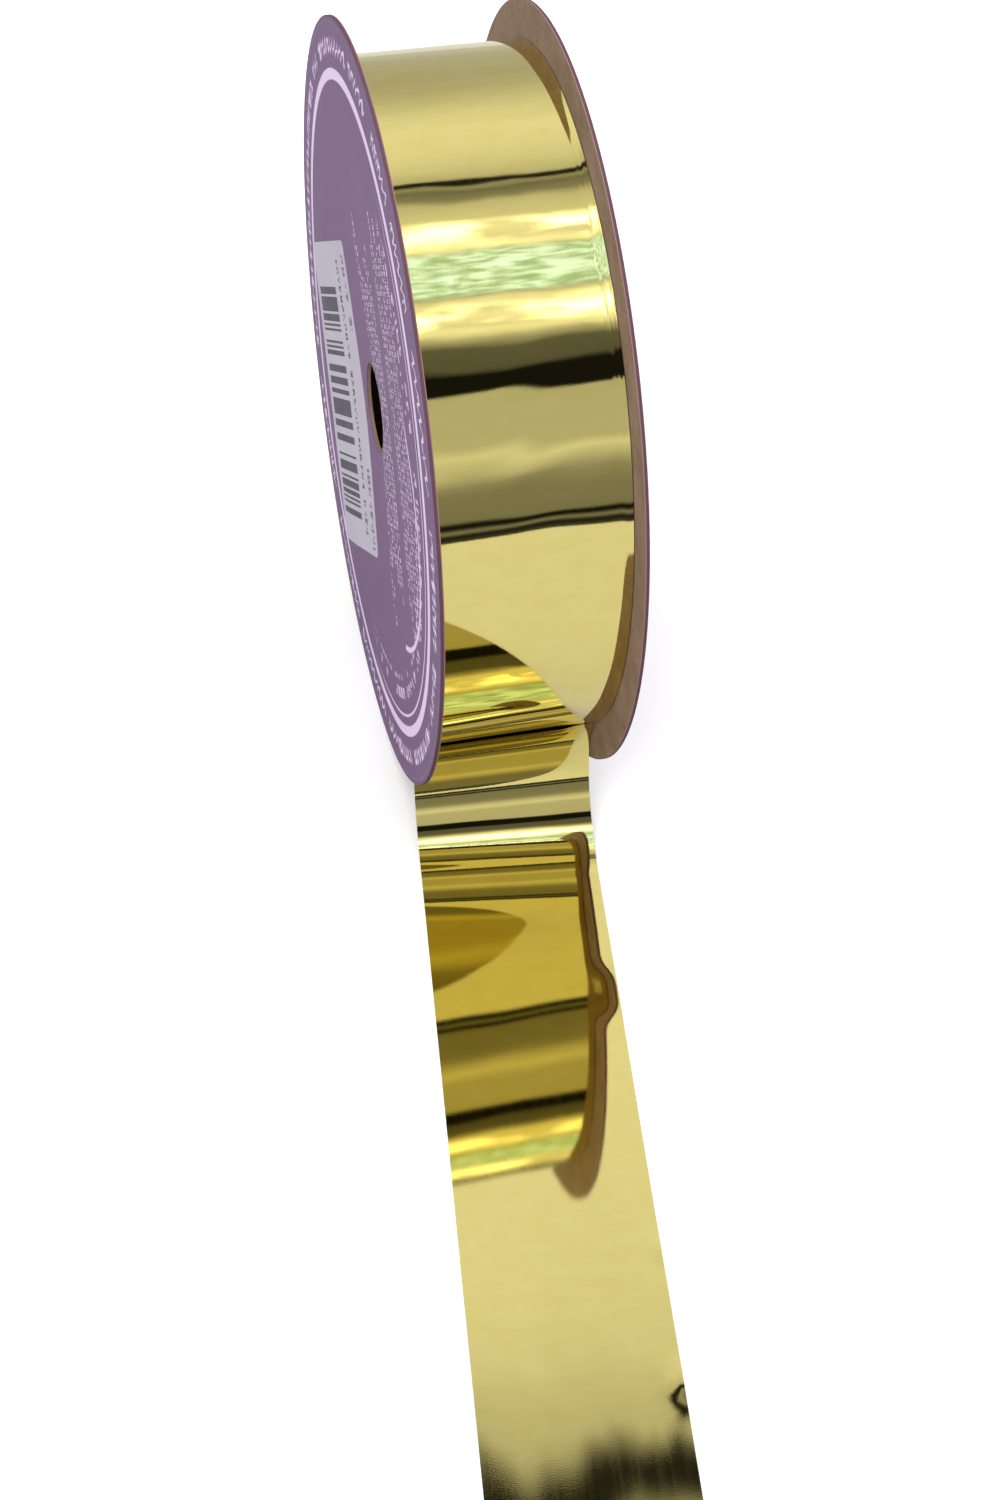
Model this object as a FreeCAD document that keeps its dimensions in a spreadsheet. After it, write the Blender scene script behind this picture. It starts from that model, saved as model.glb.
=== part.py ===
"""Ribbon spool: two laminated chipboard flanges on a paper tube, wound with gold film ribbon.

Frame, in millimetres: the spool's axis is X through the origin, which is midway between the
flanges. The printed flange is on the -X side, -Y is the side that the ribbon leaves from, and
+Z is up. The spool stands on its two rims at z = -flange_radius.
"""

import FreeCAD, Part  # noqa: E401  FreeCAD has to be loaded before Part
import math
import os

from FreeCAD import Placement, Rotation, Vector
import Sketcher

DRIVING = {
    "flange_radius": 66.5,        # 5 1/4 inch discs
    "board_thickness": 0.6,
    "paper_thickness": 0.1,
    "paper_setback": 0.1,         # the paper's rim stands this far inside the board's
    "dish_depth": 1.6,            # the middle of each flange is drawn in, inside the core
    "axle_hole_radius": 7.94,     # 5/8 inch rod
    "ribbon_width": 31.75,        # 1 1/4 inch ribbon
    "ribbon_side_play": 0.15,     # between the ribbon's edge and a board
    "flange_lip": 6.9,            # how far the flanges stand out past the wound ribbon
    "winding_build": 9.6,         # depth of ribbon on the core
    "core_wall": 2.0,
    "glue_leg": 3.0,
    "lead_play": 0.3,             # air between the turning roll and the free end
    "tail_thickness": 0.3,
    "tail_start_left": 52.4,      # how far forward the bend lies down, at each edge
    "tail_start_right": 56.2,
    "tail_length": 151.4,
    "starter_tape_width": 25.0,
    "starter_tape_thickness": 0.1,
    "starter_tape_angle": 22.0,
    "starter_tape_play": 0.05,
    "label_long": 57.0,           # 2 1/4 by 1 1/2 inch label
    "label_short": 38.0,
    "label_corner": 1.5,
    "label_thickness": 0.1,
    "label_hole_gap": 3.2,        # from the axle hole to the label's nearer long side
    "label_slide": 0.7,           # its middle lies this far along its long side, up being plus
    "label_turn": -33.6,          # its long side leans back at the top by this, in degrees
}

doc = FreeCAD.newDocument("ribbon_spool")
sheet = doc.addObject("Spreadsheet::Sheet", "Sizes")
for row, (alias, value) in enumerate(DRIVING.items(), start=1):
    sheet.set(f"A{row}", alias)
    sheet.set(f"B{row}", str(value))
    sheet.setAlias(f"B{row}", alias)
doc.recompute()

# Derived distances, as expressions on the sheet: along X from the middle plane, or from the axis
INNER_FACE = "(Sizes.ribbon_width / 2 + Sizes.ribbon_side_play)"
BOARD_FACE = f"({INNER_FACE} + Sizes.board_thickness)"
PAPER_FACE = f"({BOARD_FACE} + Sizes.paper_thickness)"
LABEL_FACE = f"({PAPER_FACE} + Sizes.label_thickness)"
ROLL_RADIUS = "(Sizes.flange_radius - Sizes.flange_lip)"
CORE_RADIUS = f"({ROLL_RADIUS} - Sizes.winding_build)"
CORE_BORE = f"({CORE_RADIUS} - Sizes.core_wall)"
DISH_RADIUS = f"({CORE_BORE} - Sizes.glue_leg)"
LEAD_RADIUS = f"({ROLL_RADIUS} + Sizes.lead_play)"


def worth(expression):
    """What an expression on the sheet comes to now, in millimetres or degrees."""
    return float(sheet.evalExpression(expression))


def new_body(name):
    body = doc.addObject("PartDesign::Body", name)
    body.Label = name
    return body


def new_sketch(body, name, role, offset=None):
    """A sketch on one of the body's own planes, raised off it by an expression."""
    sketch = body.newObject("Sketcher::SketchObject", name)
    plane = next(item for item in body.Origin.OriginFeatures if item.Role == role)
    sketch.AttachmentSupport = (plane, "")
    sketch.MapMode = "FlatFace"
    if offset:
        sketch.setExpression("AttachmentOffset.Base.z", offset)
    return sketch


def constrain(sketch, kind, *where, bind=None):
    """Add a constraint; bind is the expression that drives its value."""
    if bind is None:
        sketch.addConstraint(Sketcher.Constraint(kind, *where))
        return
    value = worth(bind)
    angle = math.radians(value) if kind == "Angle" else value
    index = sketch.addConstraint(Sketcher.Constraint(kind, *where, angle))
    unit = " * 1 deg" if kind == "Angle" else ""
    sketch.setExpression(f"Constraints[{index}]", f"({bind}){unit}")


def add_circle(sketch, radius):
    circle = sketch.addGeometry(Part.Circle(Vector(0, 0, 0), Vector(0, 0, 1), worth(radius)), False)
    constrain(sketch, "Coincident", circle, 3, -1, 1)
    constrain(sketch, "Radius", circle, bind=radius)


def add_polygon(sketch, corners):
    """Closed straight sides through the corners, joined end to end; returns the sides."""
    count = len(corners)
    sides = [sketch.addGeometry(Part.LineSegment(corners[i], corners[(i + 1) % count]), False)
             for i in range(count)]
    for i in range(count):
        constrain(sketch, "Coincident", sides[i], 2, sides[(i + 1) % count], 1)
    return sides


def add_pad(body, sketch, length):
    pad = body.newObject("PartDesign::Pad", f"{sketch.Name}_pad")
    pad.Profile = sketch
    pad.setExpression("Length", length)
    return pad


def make_ring(name, outer, inner, start, length):
    """A ring about X: two circles on YZ, padded along +X from x = start."""
    body = new_body(name)
    sketch = new_sketch(body, f"{name}_section", "YZ_Plane", start)
    add_circle(sketch, outer)
    add_circle(sketch, inner)
    add_pad(body, sketch, length)
    return body


def make_turned(name, side, corners):
    """A ring turned about X from a polygon.

    Each corner is a pair of expressions: how far from the middle plane, towards the side
    (-1 left, 1 right), and how far from the axis.
    """
    body = new_body(name)
    sketch = new_sketch(body, f"{name}_profile", "XY_Plane")
    points = [Vector(side * worth(along), worth(out), 0) for along, out in corners]
    lines = add_polygon(sketch, points)
    for line, (along, out) in zip(lines, corners):
        ends = (-1, 1, line, 1) if side > 0 else (line, 1, -1, 1)
        constrain(sketch, "DistanceX", *ends, bind=along)
        constrain(sketch, "DistanceY", -1, 1, line, 1, bind=out)
    turn = body.newObject("PartDesign::Revolution", f"{name}_turn")
    turn.Profile = sketch
    turn.ReferenceAxis = (sketch, ["H_Axis"])
    turn.Angle = 360.0
    return body


def dished_layer(under, over, rim):
    """Profile of one layer of a flange: flat from the rim to the core's glue, then dished in."""
    hole = "Sizes.axle_hole_radius"
    return [(under, rim), (over, rim), (over, DISH_RADIUS),
            (f"{over} - Sizes.dish_depth", hole), (f"{under} - Sizes.dish_depth", hole),
            (under, DISH_RADIUS)]


def make_flanges():
    """Each flange is a board with paper glued on its outside, both punched with the axle hole."""
    bodies = []
    paper_rim = "(Sizes.flange_radius - Sizes.paper_setback)"
    for name, side in (("left", -1), ("right", 1)):
        board = dished_layer(INNER_FACE, BOARD_FACE, "Sizes.flange_radius")
        paper = dished_layer(BOARD_FACE, PAPER_FACE, paper_rim)
        bodies.append(make_turned(f"flange_board_{name}", side, board))
        bodies.append(make_turned(f"face_paper_{name}", side, paper))
    return bodies


def make_glue_rings():
    """A fillet of hot melt in the corner between the tube's bore and each board."""
    fillet = [(INNER_FACE, CORE_BORE), (f"{INNER_FACE} - Sizes.glue_leg", CORE_BORE),
              (INNER_FACE, DISH_RADIUS)]
    return [make_turned(f"glue_ring_{name}", side, fillet)
            for name, side in (("left", -1), ("right", 1))]


def add_patch(sketch, inner, outer, half_angle):
    """A curved patch over the top of the core, half_angle degrees wide each way from +Z."""
    low, high, half = worth(inner), worth(outer), worth(half_angle)
    start, end = math.radians(90 - half), math.radians(90 + half)
    origin, normal = Vector(0, 0, 0), Vector(0, 0, 1)

    def corner(radius, at):
        return Vector(radius * math.cos(at), radius * math.sin(at), 0)

    arcs = [sketch.addGeometry(Part.ArcOfCircle(Part.Circle(origin, normal, radius), start, end),
                               False) for radius in (low, high)]
    ends = [sketch.addGeometry(Part.LineSegment(corner(low, at), corner(high, at)), False)
            for at in (start, end)]
    for arc, radius in zip(arcs, (inner, outer)):
        constrain(sketch, "Coincident", arc, 3, -1, 1)
        constrain(sketch, "Radius", arc, bind=radius)
    for point, line in enumerate(ends, start=1):
        constrain(sketch, "Coincident", line, 1, arcs[0], point)
        constrain(sketch, "Coincident", line, 2, arcs[1], point)
        constrain(sketch, "PointOnObject", -1, 1, line)
    constrain(sketch, "Angle", -1, 1, ends[0], 1, bind=f"90 - {half_angle}")
    constrain(sketch, "Angle", -1, 1, ends[1], 1, bind=f"90 + {half_angle}")


def make_starter_tape():
    """A strip of tape on top of the core, over the ribbon's first end."""
    body = new_body("start_tape")
    sketch = new_sketch(body, "tape_section", "YZ_Plane", "-Sizes.starter_tape_width / 2")
    add_patch(sketch, CORE_RADIUS, f"{CORE_RADIUS} + Sizes.starter_tape_thickness",
              "Sizes.starter_tape_angle / 2")
    add_pad(body, sketch, "Sizes.starter_tape_width")
    return body


def make_roll():
    """The wound ribbon sits tight on the core, with a shallow recess over the starter tape."""
    body = make_ring("ribbon_roll", ROLL_RADIUS, CORE_RADIUS, "-Sizes.ribbon_width / 2",
                     "Sizes.ribbon_width")
    play = "Sizes.starter_tape_play"
    recess_width = f"(Sizes.starter_tape_width + 2 * {play})"
    sketch = new_sketch(body, "recess_section", "YZ_Plane", f"-{recess_width} / 2")
    add_patch(sketch, f"{CORE_RADIUS} - {play}",
              f"{CORE_RADIUS} + Sizes.starter_tape_thickness + {play}",
              f"(Sizes.starter_tape_angle / 2 + {play} * 180 / pi / {CORE_RADIUS})")
    recess = body.newObject("PartDesign::Pocket", "tape_recess")
    recess.Profile = sketch
    recess.setExpression("Length", recess_width)
    recess.Reversed = True
    return body


def bend_section(body, side, start):
    """The bend's section at one edge of the ribbon, on a plane across the axis.

    The underside is an arc that touches the table start millimetres in front of the axis and
    stays lead_play off the roll. Both ends of the section lie on lines through the arc's
    centre: straight down, and towards the spool's axis.
    """
    half = "Sizes.ribbon_width / 2"
    sketch = new_sketch(body, f"bend_{side}", "YZ_Plane", f"-{half}" if side == "left" else half)
    under_radius = (f"({start}^2 + Sizes.flange_radius^2 - {LEAD_RADIUS}^2)"
                    f" / (2 * (Sizes.flange_radius + {LEAD_RADIUS}))")
    radius, thick = worth(under_radius), worth("Sizes.tail_thickness")
    centre = Vector(-worth(start), radius - worth("Sizes.flange_radius"), 0)
    down, inward = -math.pi / 2, math.atan2(-centre.y, -centre.x)

    def corner(distance, at):
        return centre + Vector(distance * math.cos(at), distance * math.sin(at), 0)

    def arc(distance):
        circle = Part.Circle(centre, Vector(0, 0, 1), distance)
        return sketch.addGeometry(Part.ArcOfCircle(circle, down, inward), False)

    def cap(at):
        line = Part.LineSegment(corner(radius - thick, at), corner(radius, at))
        return sketch.addGeometry(line, False)

    under, upper, foot, lip = arc(radius), arc(radius - thick), cap(down), cap(inward)
    constrain(sketch, "Coincident", upper, 3, under, 3)
    for line, end in ((foot, 1), (lip, 2)):
        constrain(sketch, "Coincident", line, 1, upper, end)
        constrain(sketch, "Coincident", line, 2, under, end)
        constrain(sketch, "PointOnObject", under, 3, line)
    constrain(sketch, "Vertical", foot)
    constrain(sketch, "PointOnObject", -1, 1, lip)
    constrain(sketch, "DistanceX", foot, 2, -1, 1, bind=start)
    constrain(sketch, "DistanceY", foot, 2, -1, 1, bind="Sizes.flange_radius")
    constrain(sketch, "Radius", upper, bind=f"{under_radius} - Sizes.tail_thickness")
    return sketch


def make_tail():
    """The ribbon's free end: a tight bend off the front of the roll, then flat on the table.

    The bend lies down a little further forward at the right edge than at the left, so it is a
    slice of a cone, and the flat stretch runs off square to that slanted line.
    """
    body = new_body("ribbon_tail")
    half, length = "Sizes.ribbon_width / 2", "Sizes.tail_length"
    starts = {"left": "Sizes.tail_start_left", "right": "Sizes.tail_start_right"}
    sections = [bend_section(body, side, start) for side, start in starts.items()]
    bend = body.newObject("PartDesign::AdditiveLoft", "bend")
    bend.Profile = sections[0]
    bend.Sections = [sections[1]]
    bend.Ruled = True

    flat = new_sketch(body, "flat_outline", "XY_Plane", "-Sizes.flange_radius")
    near_left = Vector(-worth(half), -worth(starts["left"]), 0)
    near_right = Vector(worth(half), -worth(starts["right"]), 0)
    across = (near_right - near_left).normalize()
    run = Vector(across.y, -across.x, 0) * worth(length)
    near, right, end, left = add_polygon(
        flat, [near_left, near_right, near_right + run, near_left + run])
    constrain(flat, "Perpendicular", near, right)
    constrain(flat, "Perpendicular", right, end)
    constrain(flat, "Perpendicular", end, left)
    constrain(flat, "DistanceX", near, 1, -1, 1, bind=half)
    constrain(flat, "DistanceX", -1, 1, near, 2, bind=half)
    constrain(flat, "DistanceY", near, 1, -1, 1, bind=starts["left"])
    constrain(flat, "DistanceY", near, 2, -1, 1, bind=starts["right"])
    constrain(flat, "Distance", right, bind=length)
    add_pad(body, flat, "Sizes.tail_thickness")
    return body


def make_label():
    """A self-adhesive label with rounded corners, pressed onto the left face.

    It is a skin turned about the axis like the paper under it. All but an upright rectangle
    beside the axle hole is cut away, and the body is then turned about the axis.
    """
    near = "(Sizes.axle_hole_radius + Sizes.label_hole_gap)"
    body = make_turned("barcode_sticker", -1,
                       dished_layer(PAPER_FACE, LABEL_FACE, "Sizes.flange_radius"))
    sketch = new_sketch(body, "label_outline", "YZ_Plane", f"-{LABEL_FACE} - 1")
    add_circle(sketch, "Sizes.flange_radius + 1")
    left, low = worth(near), worth("Sizes.label_slide - Sizes.label_long / 2")
    right, high = left + worth("Sizes.label_short"), low + worth("Sizes.label_long")
    sides = add_polygon(sketch, [Vector(left, low, 0), Vector(right, low, 0),
                                 Vector(right, high, 0), Vector(left, high, 0)])
    for side, kind in zip(sides, ("Horizontal", "Vertical") * 2):
        constrain(sketch, kind, side)
    constrain(sketch, "DistanceX", -1, 1, sides[0], 1, bind=near)
    constrain(sketch, "DistanceX", sides[0], 1, sides[0], 2, bind="Sizes.label_short")
    constrain(sketch, "DistanceY", sides[1], 1, sides[1], 2, bind="Sizes.label_long")
    constrain(sketch, "DistanceY", sides[0], 1, -1, 1,
              bind="Sizes.label_long / 2 - Sizes.label_slide")
    trim = body.newObject("PartDesign::Pocket", "label_trim")
    trim.Profile = sketch
    trim.setExpression("Length", "Sizes.dish_depth + Sizes.label_thickness + 2")
    trim.Reversed = True
    doc.recompute()
    upright = [f"Edge{i + 1}" for i, edge in enumerate(trim.Shape.Edges)
               if abs(edge.tangentAt(edge.FirstParameter).x) > 0.9]
    rounding = body.newObject("PartDesign::Fillet", "label_rounding")
    rounding.Base = (trim, upright)
    rounding.setExpression("Radius", "Sizes.label_corner")
    body.Placement = Placement(Vector(0, 0, 0), Rotation(Vector(1, 0, 0), worth("Sizes.label_turn")))
    body.setExpression("Placement.Rotation.Angle", "Sizes.label_turn * 1 deg")
    return body


def check_document():
    """Stop on any failed object, and on any sketch that isn't solved."""
    for item in doc.Objects:
        if "Invalid" in item.State or "Error" in item.State:
            raise RuntimeError(f"{item.Name} is {item.State}")
        if item.isDerivedFrom("Sketcher::SketchObject") and item.solve() != 0:
            raise RuntimeError(f"{item.Name} isn't solved")


def write_parts(bodies):
    """Write each sub-part to its own file, once every one of them has a valid shape."""
    for body in bodies:
        if body.Shape.isNull() or not body.Shape.isValid():
            raise RuntimeError(f"{body.Label} has no valid shape")
    os.makedirs("parts", exist_ok=True)
    for body in bodies:
        box = body.Shape.BoundBox
        print(f"{body.Label:20s} {body.Shape.Volume:10.1f} mm3  x {box.XMin:7.2f} {box.XMax:7.2f}"
              f"  y {box.YMin:8.2f} {box.YMax:7.2f}  z {box.ZMin:7.2f} {box.ZMax:7.2f}")
        body.Shape.exportStep(f"parts/{body.Label}.step")


core_tube = make_ring("core_tube", CORE_RADIUS, CORE_BORE, f"-{INNER_FACE}", f"2 * {INNER_FACE}")
subparts = [*make_flanges(), core_tube, *make_glue_rings(), make_starter_tape(), make_roll(),
            make_tail(), make_label()]
doc.recompute()
check_document()
write_parts(subparts)
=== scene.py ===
"""Looks of the ribbon spool: gold film ribbon on a paper core between two printed flanges.

Metres, in the CAD's frame: the axis is X through the origin, the printed and labelled flange is
on the -X side, the ribbon leaves towards -Y and +Z is up. The helpers take millimetres where
their names end in _mm.
"""

import math

import bpy
import numpy as np
from mathutils import Matrix, Vector


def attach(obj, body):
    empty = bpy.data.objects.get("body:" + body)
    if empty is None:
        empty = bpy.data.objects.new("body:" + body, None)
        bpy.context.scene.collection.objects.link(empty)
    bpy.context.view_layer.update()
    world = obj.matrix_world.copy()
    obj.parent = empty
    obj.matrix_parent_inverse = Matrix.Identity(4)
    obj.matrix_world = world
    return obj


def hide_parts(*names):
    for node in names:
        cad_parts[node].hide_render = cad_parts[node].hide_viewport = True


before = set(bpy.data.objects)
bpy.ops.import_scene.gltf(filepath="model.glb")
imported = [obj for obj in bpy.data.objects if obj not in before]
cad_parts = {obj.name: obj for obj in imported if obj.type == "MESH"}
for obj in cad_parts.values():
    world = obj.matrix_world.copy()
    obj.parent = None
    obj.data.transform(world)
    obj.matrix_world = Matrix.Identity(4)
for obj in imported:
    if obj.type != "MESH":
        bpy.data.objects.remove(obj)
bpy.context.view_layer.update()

MM = 0.001
WIDTH = 31.75              # the ribbon, edge to edge
FILM = 0.1                 # its thickness
ROLL_RADIUS = 59.6
FLANGE_RADIUS = 66.5
LAID_FROM = (52.4, 56.2)   # how far forward the bend lies down, at the left and right edge
FREE_END = 151.4           # the ribbon's straight length on the table
BURIED_AT = 329.0          # degrees round the roll, down from the front, where the turn starts
LABEL_TURN = 33.6          # degrees that the label's long side leans back at the top
LABEL_NEAR = 11.14         # the label's long side nearer the axle
LABEL_LOW = -27.8          # and its lower short side


# ---------------------------------------------------------------- camera

def make_camera():
    """Looks down on the front of the spool from its printed side, turned slightly clockwise."""
    data = bpy.data.cameras.new("camera")
    data.sensor_fit = "VERTICAL"
    data.sensor_height = 24.0
    data.lens = 40.15
    data.clip_start = 0.01
    data.clip_end = 50.0
    camera = bpy.data.objects.new("camera", data)
    bpy.context.scene.collection.objects.link(camera)
    aside, down, lean = math.radians(13.458), math.radians(45.0), math.radians(1.531)
    turn = (Matrix.Rotation(-aside, 4, "Z") @ Matrix.Rotation(math.pi / 2 - down, 4, "X")
            @ Matrix.Rotation(lean, 4, "Z"))
    camera.matrix_world = Matrix.Translation((-0.07389, -0.34845, 0.26878)) @ turn
    bpy.context.scene.camera = camera


# ---------------------------------------------------------------- shader helpers

class Nodes:
    """A node tree written as formulas: each call adds one node and returns its output."""

    def __init__(self, tree):
        self.tree = tree

    def add(self, kind, inputs=(), output=0, **settings):
        """Adds a node; inputs maps a socket's name or number to a value or to an output."""
        node = self.tree.nodes.new(kind)
        for name, value in settings.items():
            setattr(node, name, value)
        for socket, value in dict(inputs).items():
            self.put(node.inputs[socket], value)
        return node.outputs[output]

    def put(self, socket, value):
        if isinstance(value, bpy.types.NodeSocket):
            self.tree.links.new(value, socket)
        elif value is not None:
            socket.default_value = value

    def math(self, operation, *values):
        return self.add("ShaderNodeMath", dict(enumerate(values)), operation=operation)

    def plus(self, a, b):
        return self.math("ADD", a, b)

    def minus(self, a, b):
        return self.math("SUBTRACT", a, b)

    def times(self, a, b):
        return self.math("MULTIPLY", a, b)

    def over(self, a, b):
        return self.math("DIVIDE", a, b)

    def between(self, value, low, high, soft):
        """1 where value lies between low and high, with edges soft wide."""
        rise = self.ramp(value, low - soft, low + soft, 0.0, 1.0)
        fall = self.ramp(value, high - soft, high + soft, 1.0, 0.0)
        return self.times(rise, fall)

    def ramp(self, value, from_low, from_high, to_low=0.0, to_high=1.0, smooth=True):
        """value carried from one range to another, held at the ends."""
        kind = "SMOOTHSTEP" if smooth else "LINEAR"
        return self.add("ShaderNodeMapRange", {0: value, 1: from_low, 2: from_high, 3: to_low,
                                               4: to_high}, interpolation_type=kind)

    def vector(self, x=0.0, y=0.0, z=0.0):
        return self.add("ShaderNodeCombineXYZ", {0: x, 1: y, 2: z})

    def split(self, vector):
        node = self.add("ShaderNodeSeparateXYZ", {0: vector}).node
        return node.outputs[0], node.outputs[1], node.outputs[2]

    def noise(self, vector, scale, detail=2.0, rough=0.5, distort=0.0):
        return self.add("ShaderNodeTexNoise", {"Vector": vector, "Scale": scale,
                                               "Detail": detail, "Roughness": rough,
                                               "Distortion": distort})

    def random(self, vector):
        return self.add("ShaderNodeTexWhiteNoise", {"Vector": vector})

    def mix(self, share, a, b):
        """a where share is 0, b where it is 1; both are colours."""
        node = self.tree.nodes.new("ShaderNodeMix")
        node.data_type = "RGBA"
        self.put(node.inputs[0], share)
        self.put(node.inputs[6], a)
        self.put(node.inputs[7], b)
        return node.outputs[2]

    def group(self, name, inputs=()):
        """Adds a shared effect and returns its outputs by name."""
        node = self.tree.nodes.new("ShaderNodeGroup")
        node.node_tree = bpy.data.node_groups[name]
        for socket, value in dict(inputs).items():
            self.put(node.inputs[socket], value)
        return node.outputs

    def object_mm(self):
        """Place on the object, in millimetres."""
        place = self.add("ShaderNodeTexCoord", output="Object")
        return self.add("ShaderNodeMapping", {"Vector": place, "Scale": (1000, 1000, 1000)})


def new_effect(name, inputs, outputs):
    """An empty shared effect: inputs and outputs map the names of its sockets to values."""
    group = bpy.data.node_groups.new(name, "ShaderNodeTree")
    for way, sockets in (("INPUT", inputs), ("OUTPUT", outputs)):
        for label, value in sockets.items():
            socket = group.interface.new_socket(label, in_out=way,
                                                socket_type="NodeSocketFloat")
            if way == "INPUT":
                socket.default_value = value
    nodes = Nodes(group)
    source = group.nodes.new("NodeGroupInput").outputs
    sink = group.nodes.new("NodeGroupOutput").inputs
    return nodes, source, sink


def new_material(name, **constants):
    """A Principled material; constants are set on the shader's own sockets."""
    material = bpy.data.materials.new(name)
    material.use_nodes = True
    shader = material.node_tree.nodes["Principled BSDF"]
    for socket, value in constants.items():
        shader.inputs[socket.replace("_", " ")].default_value = value
    return material, Nodes(material.node_tree), shader.inputs


def rgb(red, green, blue):
    return (red, green, blue, 1.0)


# ---------------------------------------------------------------- shared effects

def make_axle_polar():
    """Where a point lies round the axle: its distance from the axis, and the run round it."""
    n, _, out = new_effect("axle_polar", {}, {"Radius": 0.0, "Run": 0.0, "Turn": 0.0})
    _, y, z = n.split(n.object_mm())
    radius = n.math("SQRT", n.plus(n.times(y, y), n.times(z, z)))
    turn = n.math("ARCTAN2", z, n.times(y, -1.0))
    n.put(out["Radius"], radius)
    n.put(out["Run"], n.times(turn, 60.0))
    n.put(out["Turn"], turn)


def make_paper_fibre():
    """Recycled paper pulp: soft clouds, crossing hair-thin fibres and the odd dark fleck."""
    n, given, out = new_effect("paper_fibre", {"Grain": 1.0}, {"Tone": 0.5, "Height": 0.0,
                                                              "Fleck": 0.0})
    place = n.object_mm()
    clouds = n.noise(place, 0.12, 3.0, 0.6)
    stretched = n.add("ShaderNodeMapping", {"Vector": place, "Rotation": (0.5, 0.3, 0.9),
                                            "Scale": (1.0, 0.22, 1.3)})
    crossing = n.add("ShaderNodeMapping", {"Vector": place, "Rotation": (1.9, 0.8, 0.2),
                                           "Scale": (1.0, 0.2, 1.2)})
    first = n.noise(stretched, n.times(given["Grain"], 2.2), 4.0, 0.65)
    second = n.noise(crossing, n.times(given["Grain"], 3.1), 4.0, 0.65)
    fibres = n.times(n.plus(first, second), 0.5)
    flecks = n.ramp(n.noise(stretched, 1.7, 1.0, 0.4), 0.68, 0.74)
    n.put(out["Tone"], n.plus(n.times(clouds, 0.45), n.times(fibres, 0.55)))
    n.put(out["Height"], fibres)
    n.put(out["Fleck"], flecks)


def make_greeked_print():
    """Lines of small made-up marks: every letter is a three by three patch of random blocks."""
    n, given, out = new_effect(
        "greeked_print",
        {"Along": 0.0, "Across": 0.0, "Letter": 1.0, "Line": 2.0, "Tall": 0.6, "Gap": 0.15},
        {"Ink": 0.0})
    column = n.over(given["Along"], given["Letter"])
    row = n.over(given["Across"], given["Line"])
    cell = n.vector(n.math("FLOOR", column), n.math("FLOOR", row), 3.0)
    inside = n.math("FRACT", column)
    up = n.math("FRACT", row)
    stroke_x = n.math("FLOOR", n.times(inside, 4.0))
    stroke_y = n.math("FLOOR", n.times(n.over(up, given["Tall"]), 3.0))
    letter = n.random(cell)
    block = n.random(n.vector(stroke_x, stroke_y, n.times(letter, 91.0)))
    ink = n.math("GREATER_THAN", block, 0.42)
    written = n.math("GREATER_THAN", letter, given["Gap"])
    tall = n.math("LESS_THAN", up, given["Tall"])
    narrow = n.math("LESS_THAN", inside, 0.75)
    n.put(out["Ink"], n.times(n.times(ink, written), n.times(tall, narrow)))


def make_handling_wear():
    """Rubbed places: a cloudy mask that grows towards a flange's rim."""
    n, given, out = new_effect("handling_wear", {"Reach": 2.0}, {"Worn": 0.0})
    polar = n.group("axle_polar")
    edge = n.ramp(polar["Radius"], n.minus(FLANGE_RADIUS, given["Reach"]), FLANGE_RADIUS)
    patchy = n.noise(n.object_mm(), 0.8, 5.0, 0.7)
    n.put(out["Worn"], n.ramp(n.plus(n.times(edge, 0.55), patchy), 0.72, 0.98))


# ---------------------------------------------------------------- materials

def film_material(name, tone, dull):
    """Metallised film: a bright mirror with a fine calendered grain along its length."""
    material, n, shader = new_material(name, Metallic=1.0)
    across = n.add("ShaderNodeUVMap", uv_map="along_ribbon")
    u, v, _ = n.split(across)
    streaks = n.noise(n.vector(n.times(u, 26.0), n.times(v, 1.2)), 1.0, 3.0, 0.6)
    cloud = n.noise(n.vector(n.times(u, 3.0), n.times(v, 40.0)), 1.0, 4.0, 0.6)
    deep = rgb(tone[0] * 0.97, tone[1] * 0.96, tone[2] * 0.9)
    n.put(shader["Base Color"], n.mix(n.ramp(cloud, 0.3, 0.7), deep, rgb(*tone)))
    rough = n.plus(n.times(n.ramp(streaks, 0.35, 0.75), 0.02), dull)
    n.put(shader["Roughness"], rough)
    pebble = n.noise(n.vector(n.times(u, 60.0), n.times(v, 640.0)), 1.0, 2.0, 0.5)
    bump = n.add("ShaderNodeBump", {"Strength": 0.008, "Distance": 0.0001, "Height": pebble})
    n.put(shader["Normal"], bump)
    return material


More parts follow.
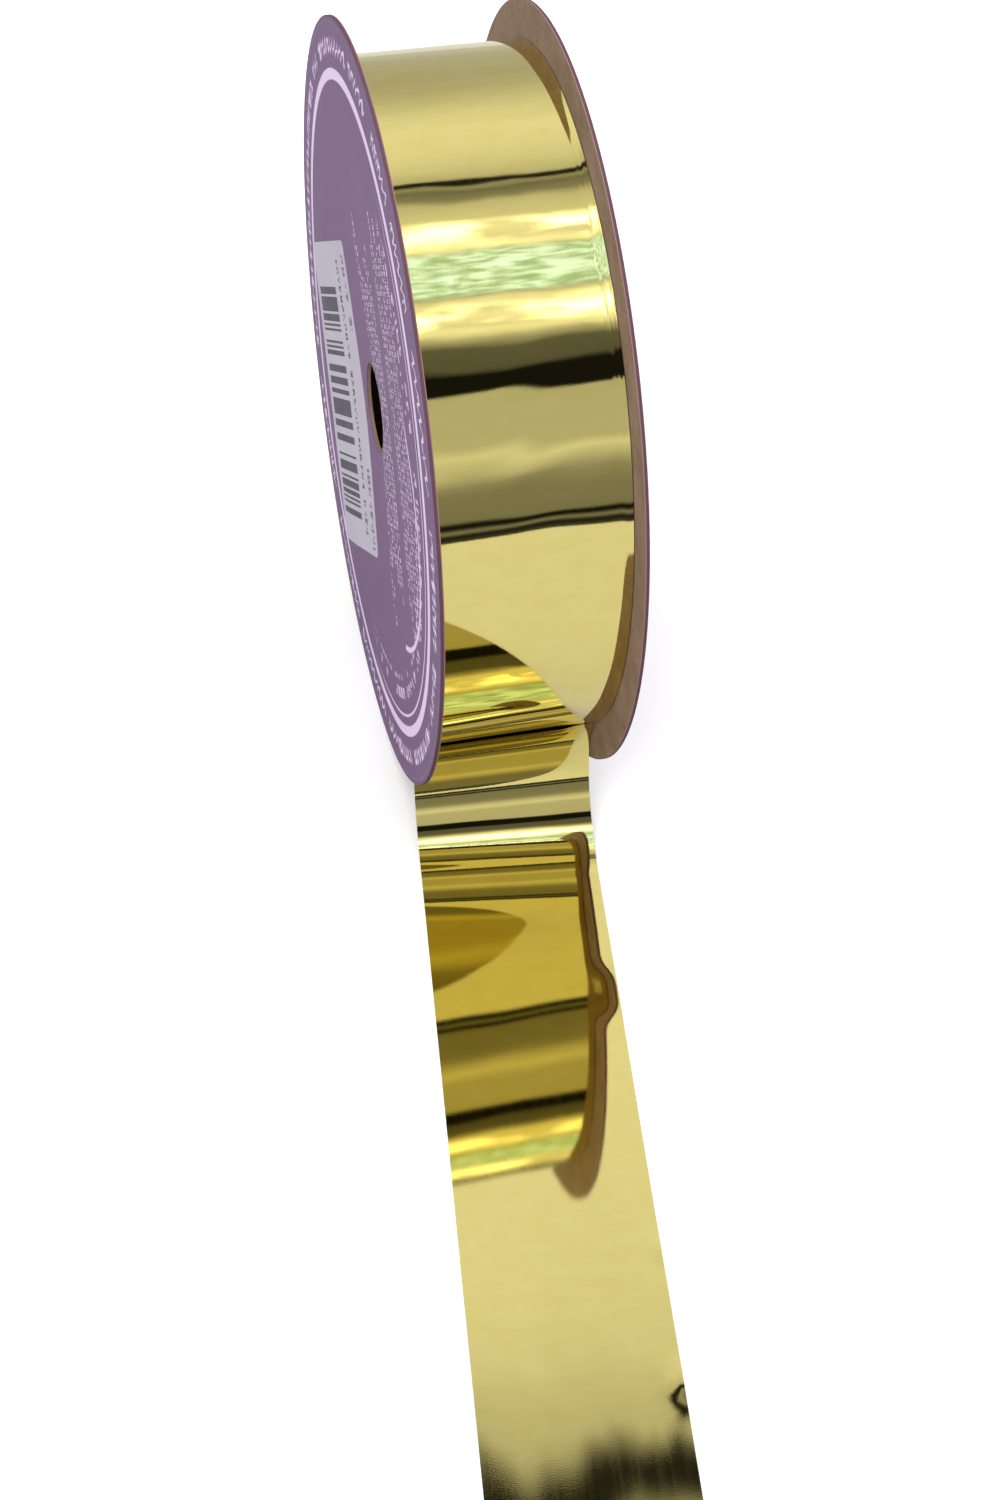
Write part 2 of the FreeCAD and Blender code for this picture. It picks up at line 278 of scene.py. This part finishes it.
def print_material():
    """Mauve print on coated paper: pale rings, a script band, greeked text and flourishes, with
    painted shade darkening the rim.
    """
    material, n, shader = new_material("mauve_print", IOR=1.33)
    polar = n.group("axle_polar")
    radius, run, turn = polar["Radius"], polar["Run"], polar["Turn"]
    fibre = n.group("paper_fibre", {"Grain": 2.0})
    ground = n.mix(n.ramp(fibre["Tone"], 0.3, 0.7), rgb(0.135, 0.066, 0.162),
                   rgb(0.168, 0.088, 0.198))
    wide = n.between(radius, 56.0, 57.9, 0.12)
    thin = n.between(radius, 53.9, 54.35, 0.1)
    front = n.between(turn, -1.35, 1.15, 0.25)
    rings = n.math("MAXIMUM", wide, n.times(thin, front))

    wander = n.noise(n.vector(n.times(run, 0.35)), 1.0, 1.0)
    slanted = n.plus(run, n.times(n.minus(radius, 61.6), 0.55))
    phase = n.plus(n.times(slanted, 2.2), n.times(wander, 14.0))
    swell = n.plus(0.3, n.times(n.noise(n.vector(n.times(run, 0.9), 7.0), 1.0, 0.0), 1.25))
    pen = n.times(n.math("SINE", phase), swell)
    off = n.math("ABSOLUTE", n.minus(n.minus(radius, 61.6), pen))
    words = n.math("GREATER_THAN", n.noise(n.vector(n.times(run, 0.11), 3.0), 1.0, 0.0), 0.4)
    script = n.times(n.ramp(off, 0.34, 0.62, 1.0, 0.0), words)

    place = n.object_mm()
    upright = n.add("ShaderNodeMapping", {"Vector": place,
                                          "Rotation": (math.radians(LABEL_TURN), 0, 0)})
    _, aside, up = n.split(upright)
    small = n.group("greeked_print", {"Along": up, "Across": aside, "Letter": 1.05,
                                      "Line": 2.3, "Tall": 0.42, "Gap": 0.2})["Ink"]
    column = n.plus(n.between(aside, -44.0, -26.0, 0.01), n.between(aside, -19.0, -4.0, 0.01))
    ragged = n.noise(n.vector(n.math("FLOOR", n.over(aside, 2.3))), 3.1, 0.0)
    reach = n.plus(18.0, n.times(ragged, 26.0))
    inside = n.math("LESS_THAN", n.math("ABSOLUTE", n.plus(up, 2.0)), reach)
    text = n.times(n.times(small, n.times(column, inside)), n.math("LESS_THAN", radius, 51.0))

    _, y, z = n.split(place)
    swirl_y = n.plus(y, 22.0)
    loop = n.math("SQRT", n.plus(n.times(swirl_y, swirl_y), n.times(z, z)))
    swirl = n.times(n.between(loop, 27.3, 28.2, 0.2), n.math("LESS_THAN", y, -36.0))
    large = n.group("greeked_print", {"Along": run, "Across": n.minus(radius, 40.0),
                                      "Letter": 3.4, "Line": 4.6, "Tall": 0.7,
                                      "Gap": 0.25})["Ink"]
    heading = n.times(large, n.times(n.between(radius, 46.9, 51.2, 0.01), front))

    pale = n.math("MAXIMUM", n.math("MAXIMUM", rings, script),
                  n.math("MAXIMUM", text, n.math("MAXIMUM", swirl, n.times(heading, 0.75))))
    lilac = rgb(0.74, 0.6, 0.8)
    printed = n.mix(n.times(pale, 0.95), ground, lilac)
    worn = n.group("handling_wear", {"Reach": 2.5})["Worn"]
    aged = n.mix(n.times(worn, 0.22), printed, rgb(0.42, 0.33, 0.4))
    # Painted shade: the outer millimetre of the face is darkened to deep purple where the
    # printed paper turns over the rim into shade.
    painted_rim_shade = n.times(n.ramp(radius, 65.2, 66.2), 0.6)
    n.put(shader["Base Color"], n.mix(painted_rim_shade, aged, rgb(0.075, 0.022, 0.085)))
    n.put(shader["Roughness"], n.ramp(fibre["Tone"], 0.3, 0.7, 0.5, 0.6))
    height = n.plus(n.times(fibre["Height"], 0.6), n.times(pale, 0.25))
    n.put(shader["Normal"], n.add("ShaderNodeBump", {"Strength": 0.12, "Distance": 0.0001,
                                                     "Height": height}))
    return material


def chipboard_material():
    """Grey-brown recycled board: pulpy inside face, paler cut edge, and a dark maroon band on
    the rim beside the face paper, partly the paper's edge and partly painted shade.
    """
    material, n, shader = new_material("chipboard", IOR=1.4)
    polar = n.group("axle_polar")
    fibre = n.group("paper_fibre", {"Grain": 1.0})
    board = n.mix(n.ramp(fibre["Tone"], 0.34, 0.66), rgb(0.2, 0.125, 0.082),
                  rgb(0.32, 0.22, 0.165))
    flecked = n.mix(n.times(fibre["Fleck"], 0.4), board, rgb(0.1, 0.06, 0.045))
    x, _, _ = n.split(n.object_mm())
    rim = n.ramp(polar["Radius"], 66.25, 66.45)
    ply = n.noise(n.vector(n.times(n.math("ABSOLUTE", x), 9.0), n.times(polar["Run"], 0.4)),
                  1.0, 3.0, 0.6)
    cut = n.mix(ply, rgb(0.21, 0.125, 0.11), rgb(0.33, 0.21, 0.18))
    edged = n.mix(rim, flecked, cut)
    # A dark maroon band on the outer part of the rim, beside the face paper: partly the paper's
    # own edge, partly painted shade.
    paper_edge_and_shade = n.times(n.ramp(n.math("ABSOLUTE", x), 16.08, 16.25), rim)
    n.put(shader["Base Color"], n.mix(n.times(paper_edge_and_shade, 0.9), edged, rgb(0.085, 0.028, 0.05)))
    n.put(shader["Roughness"], n.ramp(fibre["Tone"], 0.3, 0.7, 0.72, 0.9))
    n.put(shader["Normal"], n.add("ShaderNodeBump", {"Strength": 0.35, "Distance": 0.00012,
                                                     "Height": fibre["Height"]}))
    return material


def core_material():
    """Kraft tube wound on the slant: a dark seam every turn."""
    material, n, shader = new_material("core_kraft", IOR=1.4)
    fibre = n.group("paper_fibre", {"Grain": 0.8})
    polar = n.group("axle_polar")
    x, _, _ = n.split(n.object_mm())
    slant = n.math("FRACT", n.over(n.plus(x, n.times(polar["Run"], 0.31)), 38.0))
    seam = n.ramp(n.math("ABSOLUTE", n.minus(slant, 0.5)), 0.0, 0.02, 1.0, 0.0)
    kraft = n.mix(n.ramp(fibre["Tone"], 0.35, 0.65), rgb(0.21, 0.125, 0.07),
                  rgb(0.33, 0.21, 0.125))
    n.put(shader["Base Color"], n.mix(n.times(seam, 0.7), kraft, rgb(0.09, 0.05, 0.03)))
    n.put(shader["Roughness"], n.ramp(fibre["Tone"], 0.3, 0.7, 0.75, 0.9))
    height = n.minus(fibre["Height"], n.times(seam, 1.5))
    n.put(shader["Normal"], n.add("ShaderNodeBump", {"Strength": 0.3, "Distance": 0.0001,
                                                     "Height": height}))
    return material


def roll_material():
    """The wound ribbon's sides: hundreds of film edges, each turn a fine bright or dark line."""
    material, n, shader = new_material("wound_film", Metallic=1.0)
    polar = n.group("axle_polar")
    turns = n.noise(n.vector(n.times(polar["Radius"], 7.5), n.times(polar["Turn"], 1.5)), 1.0,
                    4.0, 0.75)
    edge = n.ramp(turns, 0.32, 0.68)
    n.put(shader["Base Color"], n.mix(edge, rgb(0.3, 0.2, 0.045), rgb(0.78, 0.64, 0.24)))
    n.put(shader["Roughness"], n.ramp(edge, 0.0, 1.0, 0.42, 0.22))
    n.put(shader["Normal"], n.add("ShaderNodeBump", {"Strength": 0.5, "Distance": 0.0001,
                                                     "Height": edge}))
    return material


def label_material():
    """White label paper, darkened to a grey lilac as painted shade: black bars, and rows of
    greeked marks beside them.
    """
    material, n, shader = new_material("label_paper", IOR=1.45)
    upright = n.add("ShaderNodeMapping", {"Vector": n.object_mm(),
                                          "Rotation": (math.radians(LABEL_TURN), 0, 0)})
    _, aside, up = n.split(upright)
    share = n.minus(aside, LABEL_NEAR)
    high = n.minus(up, LABEL_LOW)
    module = n.math("FLOOR", n.over(high, 0.455))
    bar = n.math("GREATER_THAN", n.random(n.vector(module, 11.0)), 0.47)
    bars = n.times(n.times(bar, n.between(high, 5.6, 48.8, 0.02)),
                   n.between(share, 15.2, 34.6, 0.05))
    line = n.group("greeked_print", {"Along": high, "Across": n.minus(share, 9.0),
                                     "Letter": 1.7, "Line": 2.6, "Tall": 0.85,
                                     "Gap": 0.14})["Ink"]
    name = n.times(n.times(line, n.between(share, 9.0, 11.2, 0.01)),
                   n.between(high, 3.0, 53.5, 0.01))
    code = n.group("greeked_print", {"Along": high, "Across": n.minus(share, 2.0),
                                     "Letter": 2.2, "Line": 3.2, "Tall": 0.85,
                                     "Gap": 0.05})["Ink"]
    ends = n.plus(n.between(high, 41.0, 54.5, 0.01), n.between(high, 1.2, 16.0, 0.01))
    number = n.times(n.times(code, n.between(share, 2.0, 4.7, 0.01)), ends)
    fibre = n.group("paper_fibre", {"Grain": 2.5})
    # Painted shade: the white paper's colour is darkened to a grey lilac for the shade the label
    # lies in.
    paper = n.mix(n.ramp(fibre["Tone"], 0.35, 0.65), rgb(0.43, 0.39, 0.47),
                  rgb(0.48, 0.44, 0.53))
    ink = n.math("MAXIMUM", bars, n.math("MAXIMUM", name, n.times(number, 0.8)))
    faded = n.times(ink, n.ramp(fibre["Height"], 0.3, 0.6, 0.86, 1.0))
    n.put(shader["Base Color"], n.mix(faded, paper, rgb(0.03, 0.022, 0.05)))
    n.put(shader["Roughness"], n.ramp(fibre["Tone"], 0.3, 0.7, 0.5, 0.62))
    n.put(shader["Normal"], n.add("ShaderNodeBump", {"Strength": 0.08, "Distance": 0.0001,
                                                     "Height": fibre["Height"]}))
    return material


def glue_material():
    """Hot melt: cloudy amber with a few trapped bubbles."""
    material, n, shader = new_material("hot_melt", IOR=1.5)
    shader["Subsurface Weight"].default_value = 0.3
    shader["Subsurface Radius"].default_value = (0.002, 0.0012, 0.0005)
    place = n.object_mm()
    cloud = n.noise(place, 0.4, 4.0, 0.6)
    bubbles = n.ramp(n.add("ShaderNodeTexVoronoi", {"Vector": place, "Scale": 0.9}), 0.1, 0.18,
                     1.0, 0.0)
    amber = n.mix(cloud, rgb(0.52, 0.33, 0.1), rgb(0.72, 0.56, 0.27))
    n.put(shader["Base Color"], n.mix(n.times(bubbles, 0.4), amber, rgb(0.85, 0.76, 0.5)))
    n.put(shader["Roughness"], n.ramp(cloud, 0.3, 0.7, 0.18, 0.34))
    n.put(shader["Normal"], n.add("ShaderNodeBump", {"Strength": 0.4, "Distance": 0.0003,
                                                     "Height": cloud}))
    return material


def tape_material():
    """Clear tape, gone slightly yellow, with stretch lines along it."""
    material, n, shader = new_material("clear_tape", IOR=1.5)
    x, y, _ = n.split(n.object_mm())
    lines = n.noise(n.vector(n.times(x, 4.0), n.times(y, 0.3)), 1.0, 3.0, 0.6)
    n.put(shader["Base Color"], n.mix(lines, rgb(0.55, 0.5, 0.36), rgb(0.78, 0.75, 0.62)))
    n.put(shader["Roughness"], n.ramp(lines, 0.3, 0.7, 0.12, 0.3))
    n.put(shader["Normal"], n.add("ShaderNodeBump", {"Strength": 0.2, "Distance": 0.0001,
                                                     "Height": lines}))
    return material


# ---------------------------------------------------------------- the ribbon

def ribbon_edge(x_mm, start_mm, run):
    """One edge of the ribbon's inner side, from its buried start to its cut end.

    Returns each point's place and the direction that the film's outer side faces. The path is a
    slow spiral of a little over one turn round the roll, a circular arc that touches both the
    roll and the table, and a straight line along run. The arc's sideways slope grows evenly
    from none to that of run over its last two thirds.
    """
    first_gap, last_gap = 0.01, 0.14
    lead = ROLL_RADIUS + last_gap
    bend = (start_mm ** 2 + FLANGE_RADIUS ** 2 - lead ** 2) / (2 * (FLANGE_RADIUS + lead))
    centre = np.array([-start_mm, bend - FLANGE_RADIUS])
    leave = math.atan2(centre[1], -centre[0])

    t = np.linspace(0, 1, 821)
    buried = math.radians(BURIED_AT)
    angle = buried + t * (leave - buried)
    radius = ROLL_RADIUS + first_gap + (last_gap - first_gap) * t
    facing = np.stack([-np.cos(angle), np.sin(angle)], 1)
    wound = facing * radius[:, None]

    t = np.linspace(0, 1, 73)[1:]
    inward = math.atan2(-centre[1], -centre[0])
    angle = inward + t * (-math.pi / 2 - inward)
    out = np.stack([np.cos(angle), np.sin(angle)], 1)
    bent = centre + out * bend

    turned = np.vstack([wound, bent])
    faces = np.vstack([facing, -out])
    veering = 0.67
    arc = bend * abs(angle[-1] - inward)
    veer = run[0] * arc * veering / 2 * np.clip((t - 1 + veering) / veering, 0, 1) ** 2
    sideways = x_mm + np.concatenate([np.zeros(len(wound)), veer])
    points = np.column_stack([sideways, turned])
    normals = np.column_stack([np.zeros(len(faces)), faces])
    t = np.linspace(0, 1, 421)[1:, None]
    flat = points[-1] + t * FREE_END * run
    points = np.vstack([points, flat])
    normals = np.vstack([normals, np.tile([0.0, 0.0, 1.0], (len(flat), 1))])
    return points, normals


def film_waves(along, across):
    """How far the film stands off its plain shape, in millimetres.

    Long shallow waves and shorter ones across the ribbon, a slow drift of their phase from edge
    to edge, so that no two reflections run quite parallel, a twist of the outer turn, and a
    patch of tight slanted ripples where the outer turn is slack at the front.
    """
    drift = 1.3 * np.sin(across * 2.1 + along / 37.0)
    long_waves = 0.012 * np.sin(along / 5.6 + drift)
    short_waves = 0.006 * np.sin(along / 2.3 - 1.7 * across + 2.0 * drift)
    edges = 0.012 * np.sin(along / 9.0 + 1.0) * across ** 2
    slack = np.exp(-((along - 311.0) / 10.0) ** 2)
    ripples = 0.02 * slack * np.sin(along / 1.35 + 2.4 * across + np.sin(4.0 * across))
    twist = 0.05 * across * np.sin(along / 21.0 + 0.4)
    return long_waves + short_waves + (edges + ripples) + twist


def rubbed_edge(along, across):
    """How far the right edge is turned up where it rubs the board, at the front of the reel.

    It rises as the square of the way into the last millimetre and a half, over the outer
    turn's stretch from just behind the top to below the middle.
    """
    onset = 1 / (1 + np.exp((214.0 - along) / 3.0))
    ending = 1 / (1 + np.exp((along - 338.0) / 8.0))
    return 0.15 * onset * ending * np.clip((across - 0.9) / 0.1, 0, 1) ** 2


def table_waves(forward, across):
    """How far the free end stands off the table, in millimetres.

    A long shallow cosine wave along it, slanted a little; a kink in its right edge that rises
    evenly from a rounded start; a low bell-shaped hump across it near its end; and two small
    bell-shaped dents at its right edge.
    """
    half_width = WIDTH / 2
    settle = np.clip(forward / 20.0, 0.0, 1.0) ** 2
    roll_over = 0.05 * (1 - np.cos(forward / 14.0 + 0.8 * across))
    past = half_width * np.clip(across - 0.72, 0, None)
    kink = 0.039 * past ** 2 / (past + 1.0) * np.exp(-((forward - 28.0) / 6.0) ** 4)
    hump = 0.27 * np.exp(-((forward - 98.0) / 17.0) ** 2) * (1 - 0.3 * across)
    dents = 0.15 * np.exp(-((forward - 104.0) / 3.6) ** 2 - ((across - 1.0) / 0.15) ** 2)
    dents += 0.06 * np.exp(-((forward - 80.0) / 2.2) ** 2 - ((across - 1.0) / 0.1) ** 2)
    return settle * (roll_over + kink) + hump + dents


def make_ribbon(film):
    """The outer turn and the free end as one closed strip of film.

    Rows run along the ribbon. Each row goes across the outer side from left to right and back
    across the inner side, so the rows join into a closed tube with a capped start and end.
    """
    half = WIDTH / 2
    left_start, right_start = LAID_FROM
    span = np.array([WIDTH, left_start - right_start, 0.0])
    span /= np.linalg.norm(span)
    run = np.array([span[1], -span[0], 0.0])
    left, left_faces = ribbon_edge(-half, left_start, run)
    right, right_faces = ribbon_edge(half, right_start, run)

    columns = 37
    across = np.sin(np.linspace(-1, 1, columns) * math.pi / 2)
    share = ((across + 1) / 2)[None, :, None]
    inner = left[:, None] * (1 - share) + right[:, None] * share
    faces = left_faces[:, None] * (1 - share) + right_faces[:, None] * share
    faces /= np.linalg.norm(faces, axis=2, keepdims=True)

    steps = np.linalg.norm(np.diff((left + right) / 2, axis=0), axis=1)
    along = np.concatenate([[0.0], np.cumsum(steps)])
    laid_from = along[-1] - FREE_END
    forward = np.clip(along - laid_from, 0, None)[:, None]
    wound = np.clip((laid_from - 34.0 - along) / 8.0, 0.0, 1.0)[:, None]
    tucked = np.clip((along - 30.0) / 30.0, 0.0, 1.0)[:, None]
    waves = (film_waves(along[:, None], across[None]) + 0.03) * wound * tucked
    waves = waves + rubbed_edge(along[:, None], across[None])
    waves = waves + table_waves(forward, across[None])
    inner = inner + faces * waves[:, :, None]
    outer = inner + faces * FILM

    rows, ring = len(along), 2 * columns
    points = np.concatenate([outer, inner[:, ::-1]], axis=1).reshape(-1, 3) * MM
    row = np.arange(rows - 1)[:, None] * ring
    here = np.arange(ring)[None]
    after = (here + 1) % ring
    quads = np.stack([row + here, row + ring + here, row + ring + after, row + after], 2)
    quads = quads.reshape(-1, 4)
    caps = [list(range(ring)), list(range((rows - 1) * ring, rows * ring))[::-1]]

    mesh = bpy.data.meshes.new("ribbon")
    mesh.from_pydata(points.tolist(), [], quads.tolist() + caps)
    uv = np.zeros((len(points), 2))
    uv[:, 0] = np.tile(np.concatenate([across, across[::-1]]), rows)
    uv[:, 1] = np.repeat(along * 0.01, ring)
    corner = np.empty(len(mesh.loops), dtype=np.int32)
    mesh.loops.foreach_get("vertex_index", corner)
    layer = mesh.uv_layers.new(name="along_ribbon")
    layer.uv.foreach_set("vector", uv[corner].ravel())
    mesh.shade_smooth()
    edge_ends = np.empty(2 * len(mesh.edges), dtype=np.int32)
    mesh.edges.foreach_get("vertices", edge_ends)
    ends = edge_ends.reshape(-1, 2) % ring
    corners = {0, columns - 1, columns, ring - 1}
    lengthwise = (ends[:, 0] == ends[:, 1]) & np.isin(ends[:, 0], list(corners))
    at_end = np.isin(edge_ends.reshape(-1, 2) // ring, [0, rows - 1]).all(axis=1)
    sharp = mesh.attributes.new("sharp_edge", "BOOLEAN", "EDGE")
    sharp.data.foreach_set("value", lengthwise | at_end)
    mesh.materials.append(film)
    mesh.update()

    ribbon = bpy.data.objects.new("ribbon", mesh)
    bpy.context.scene.collection.objects.link(ribbon)
    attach(ribbon, "laid_ribbon")
    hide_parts("ribbon_tail")


def dress(node, material):
    """Gives a CAD node one material all over."""
    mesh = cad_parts[node].data
    mesh.materials.clear()
    mesh.materials.append(material)


# ---------------------------------------------------------------- floor, light and studio

def make_floor():
    """A wide pale table top that the spool's rims stand on."""
    size, depth = 3.0, -FLANGE_RADIUS * MM
    mesh = bpy.data.meshes.new("floor")
    mesh.from_pydata([(-size, -1.1, depth), (size, -1.1, depth), (size, 4.0, depth),
                      (-size, 4.0, depth)], [], [(0, 1, 2, 3)])
    material, n, shader = new_material("floor", Roughness=0.9)
    shader["Specular IOR Level"].default_value = 0.0
    grain = n.noise(n.object_mm(), 0.02, 3.0)
    pale = n.mix(grain, rgb(0.94, 0.94, 0.94), rgb(0.97, 0.97, 0.97))
    path = material.node_tree.nodes.new("ShaderNodeLightPath").outputs
    n.put(shader["Base Color"], n.mix(path["Is Camera Ray"], rgb(0.55, 0.55, 0.55), pale))
    mesh.materials.append(material)
    floor = bpy.data.objects.new("floor", mesh)
    bpy.context.scene.collection.objects.link(floor)


def make_studio():
    """Even white light for paper and table, and plain white behind everything."""
    world = bpy.data.worlds.new("studio")
    bpy.context.scene.world = world
    world.use_nodes = True
    world.node_tree.nodes.clear()
    n = Nodes(world.node_tree)
    path = world.node_tree.nodes.new("ShaderNodeLightPath").outputs
    plain = n.mix(path["Is Camera Ray"], rgb(0.74, 0.74, 0.745), rgb(1, 1, 1))
    background = n.add("ShaderNodeBackground", {"Color": plain, "Strength": 1.0})
    surface = world.node_tree.nodes.new("ShaderNodeOutputWorld").inputs["Surface"]
    n.put(surface, background)


def tent_material():
    """What the film mirrors: soft boxes, dark gaps between them and a leafy green patch.

    Heights are degrees round the tent from the front edge of the table over the top to the
    back, so 90 is overhead. Each band's brightness is a step of the ramp.
    """
    material = bpy.data.materials.new("studio_tent")
    material.use_nodes = True
    material.node_tree.nodes.clear()
    n = Nodes(material.node_tree)
    x, y, z = n.split(n.object_mm())
    height = n.times(n.math("ARCTAN2", z, n.times(y, -1.0)), 180 / math.pi)
    broad = n.noise(n.vector(n.times(x, 0.012), n.times(height, 0.05)), 1.0, 3.0, 0.55)
    fine = n.noise(n.vector(n.times(x, 0.06), n.times(height, 0.5), 5.0), 1.0, 3.0, 0.6)
    upper = n.ramp(height, 12.0, 30.0)
    wobble = n.plus(n.times(n.minus(broad, 0.5), 7.0), n.times(n.minus(fine, 0.5), 1.6))
    height = n.plus(height, n.times(wobble, upper))
    bands = [(-12, 0.6), (-6.8, 0.62), (-6.4, 0.1), (-5.2, 0.05), (-4.6, 0.02), (-3.6, 0.02),
             (-3.2, 0.22), (-2.4, 0.22), (-2.0, 0.01), (-0.8, 0.01), (0, 0.24), (9, 0.27),
             (12, 0.34), (15, 0.62), (19, 0.85), (23, 0.6), (34, 0.58), (37.5, 0.56),
             (38.6, 0.01), (45.0, 0.01), (46.5, 0.12), (52.0, 0.14), (55.0, 0.6), (58.5, 2.1),
             (62.0, 4.2), (65.0, 1.8), (68.0, 0.55), (82.0, 0.85), (85.5, 2.3), (89.5, 4.0),
             (92.5, 0.85), (97.5, 0.68)]
    top_bands = [(97.5, 0.68), (100, 0.3), (103.0, 0.2), (103.8, 0.34), (104.6, 0.36),
                 (105.2, 0.02), (106.6, 0.02), (107.2, 0.62), (112, 0.82), (118, 0.95),
                 (127, 1.0), (136, 0.86), (142, 0.7), (148, 0.57), (156, 0.51), (175, 0.52),
                 (180, 0.56), (190, 0.7)]
    low = band_ramp(n, height, bands)
    high = band_ramp(n, height, top_bands)
    bright = n.mix(n.math("GREATER_THAN", height, 97.5), low, high)
    leaf = n.noise(n.vector(n.times(x, 0.09), n.times(height, 0.55)), 1.0, 3.0, 0.6, 1.6)
    patch = n.between(height, 68.5, 82.0, 1.5)
    green = n.mix(n.ramp(leaf, 0.42, 0.58), rgb(0.5, 0.78, 0.7), rgb(1.2, 1.65, 2.6))
    room = n.mix(patch, bright, green)
    blot = n.noise(n.vector(n.times(x, 0.025), n.times(height, 0.12), 9.0), 1.0, 2.0, 0.5)
    strips = n.plus(n.between(height, 84.0, 92.0, 2.0), n.between(height, 57.0, 66.0, 2.0))
    fade = n.times(strips, n.ramp(blot, 0.56, 0.43))
    room = n.mix(n.times(fade, 0.88), room, rgb(0.8, 0.8, 0.8))
    light = n.add("ShaderNodeEmission", {"Color": room, "Strength": 1.0})
    surface = material.node_tree.nodes.new("ShaderNodeOutputMaterial").inputs["Surface"]
    n.put(surface, light)
    return material


def band_ramp(n, height, bands):
    """A grey ramp over height; bands are (degrees, brightness) from low to high."""
    first, last = bands[0][0], bands[-1][0]
    ramp = n.tree.nodes.new("ShaderNodeValToRGB")
    stops = ramp.color_ramp.elements
    for _ in range(len(bands) - 2):
        stops.new(0.5)
    for stop, (degrees, value) in zip(stops, bands):
        stop.position = (degrees - first) / (last - first)
        stop.color = rgb(value / 5, value / 5, value / 5)
    n.put(ramp.inputs[0], n.ramp(height, first, last, smooth=False))
    return n.add("ShaderNodeVectorMath", {0: ramp.outputs[0], 1: (5, 5, 5)},
                 operation="MULTIPLY")


def make_tent():
    """A half barrel of paper over the table, lengthwise along X, seen only in the film."""
    radius, length, steps = 0.65, 2.0, 180
    angle = np.radians(np.linspace(-5.9, 185.9, steps + 1))
    ring = np.stack([-radius * np.cos(angle), radius * np.sin(angle)], 1)
    left = np.column_stack([np.full(steps + 1, -length), ring])
    right = np.column_stack([np.full(steps + 1, length), ring])
    k = np.arange(steps)
    quads = np.stack([k, k + 1, k + steps + 2, k + steps + 1], 1)
    mesh = bpy.data.meshes.new("studio_tent")
    mesh.from_pydata(np.vstack([left, right]).tolist(), [], quads.tolist())
    mesh.materials.append(tent_material())
    tent = bpy.data.objects.new("studio_tent", mesh)
    bpy.context.scene.collection.objects.link(tent)
    tent.visible_camera = False
    tent.visible_diffuse = False
    tent.visible_transmission = False
    tent.visible_volume_scatter = False
    tent.visible_shadow = False


def make_lamp(name, place, aim, size, watts):
    """A square soft light; it lights the paper and the table, and the film doesn't mirror it."""
    data = bpy.data.lights.new(name, "AREA")
    data.size = size
    data.energy = watts
    lamp = bpy.data.objects.new(name, data)
    lamp.location = place
    lamp.rotation_mode = "QUATERNION"
    lamp.rotation_quaternion = (Vector(aim) - Vector(place)).to_track_quat("-Z", "Y")
    lamp.visible_glossy = False
    lamp.visible_camera = False
    bpy.context.scene.collection.objects.link(lamp)


# ---------------------------------------------------------------- build

bpy.context.scene.view_settings.view_transform = "Standard"
make_camera()
make_floor()
make_studio()
make_tent()
make_lamp("key", (-0.9, -1.1, 1.5), (0, 0, 0), 1.4, 26.0)
make_lamp("top", (0.3, 0.2, 1.8), (0, 0, 0), 2.0, 24.0)

make_axle_polar()
make_paper_fibre()
make_greeked_print()
make_handling_wear()

gold = film_material("gold_film", (0.79, 0.68, 0.25), 0.02)
board = chipboard_material()
mauve = print_material()
dress("flange_board_left", board)
dress("flange_board_right", board)
dress("face_paper_left", mauve)
dress("face_paper_right", mauve)
dress("core_tube", core_material())
dress("ribbon_roll", roll_material())
dress("barcode_sticker", label_material())
glue = glue_material()
dress("glue_ring_left", glue)
dress("glue_ring_right", glue)
dress("start_tape", tape_material())
make_ribbon(gold)
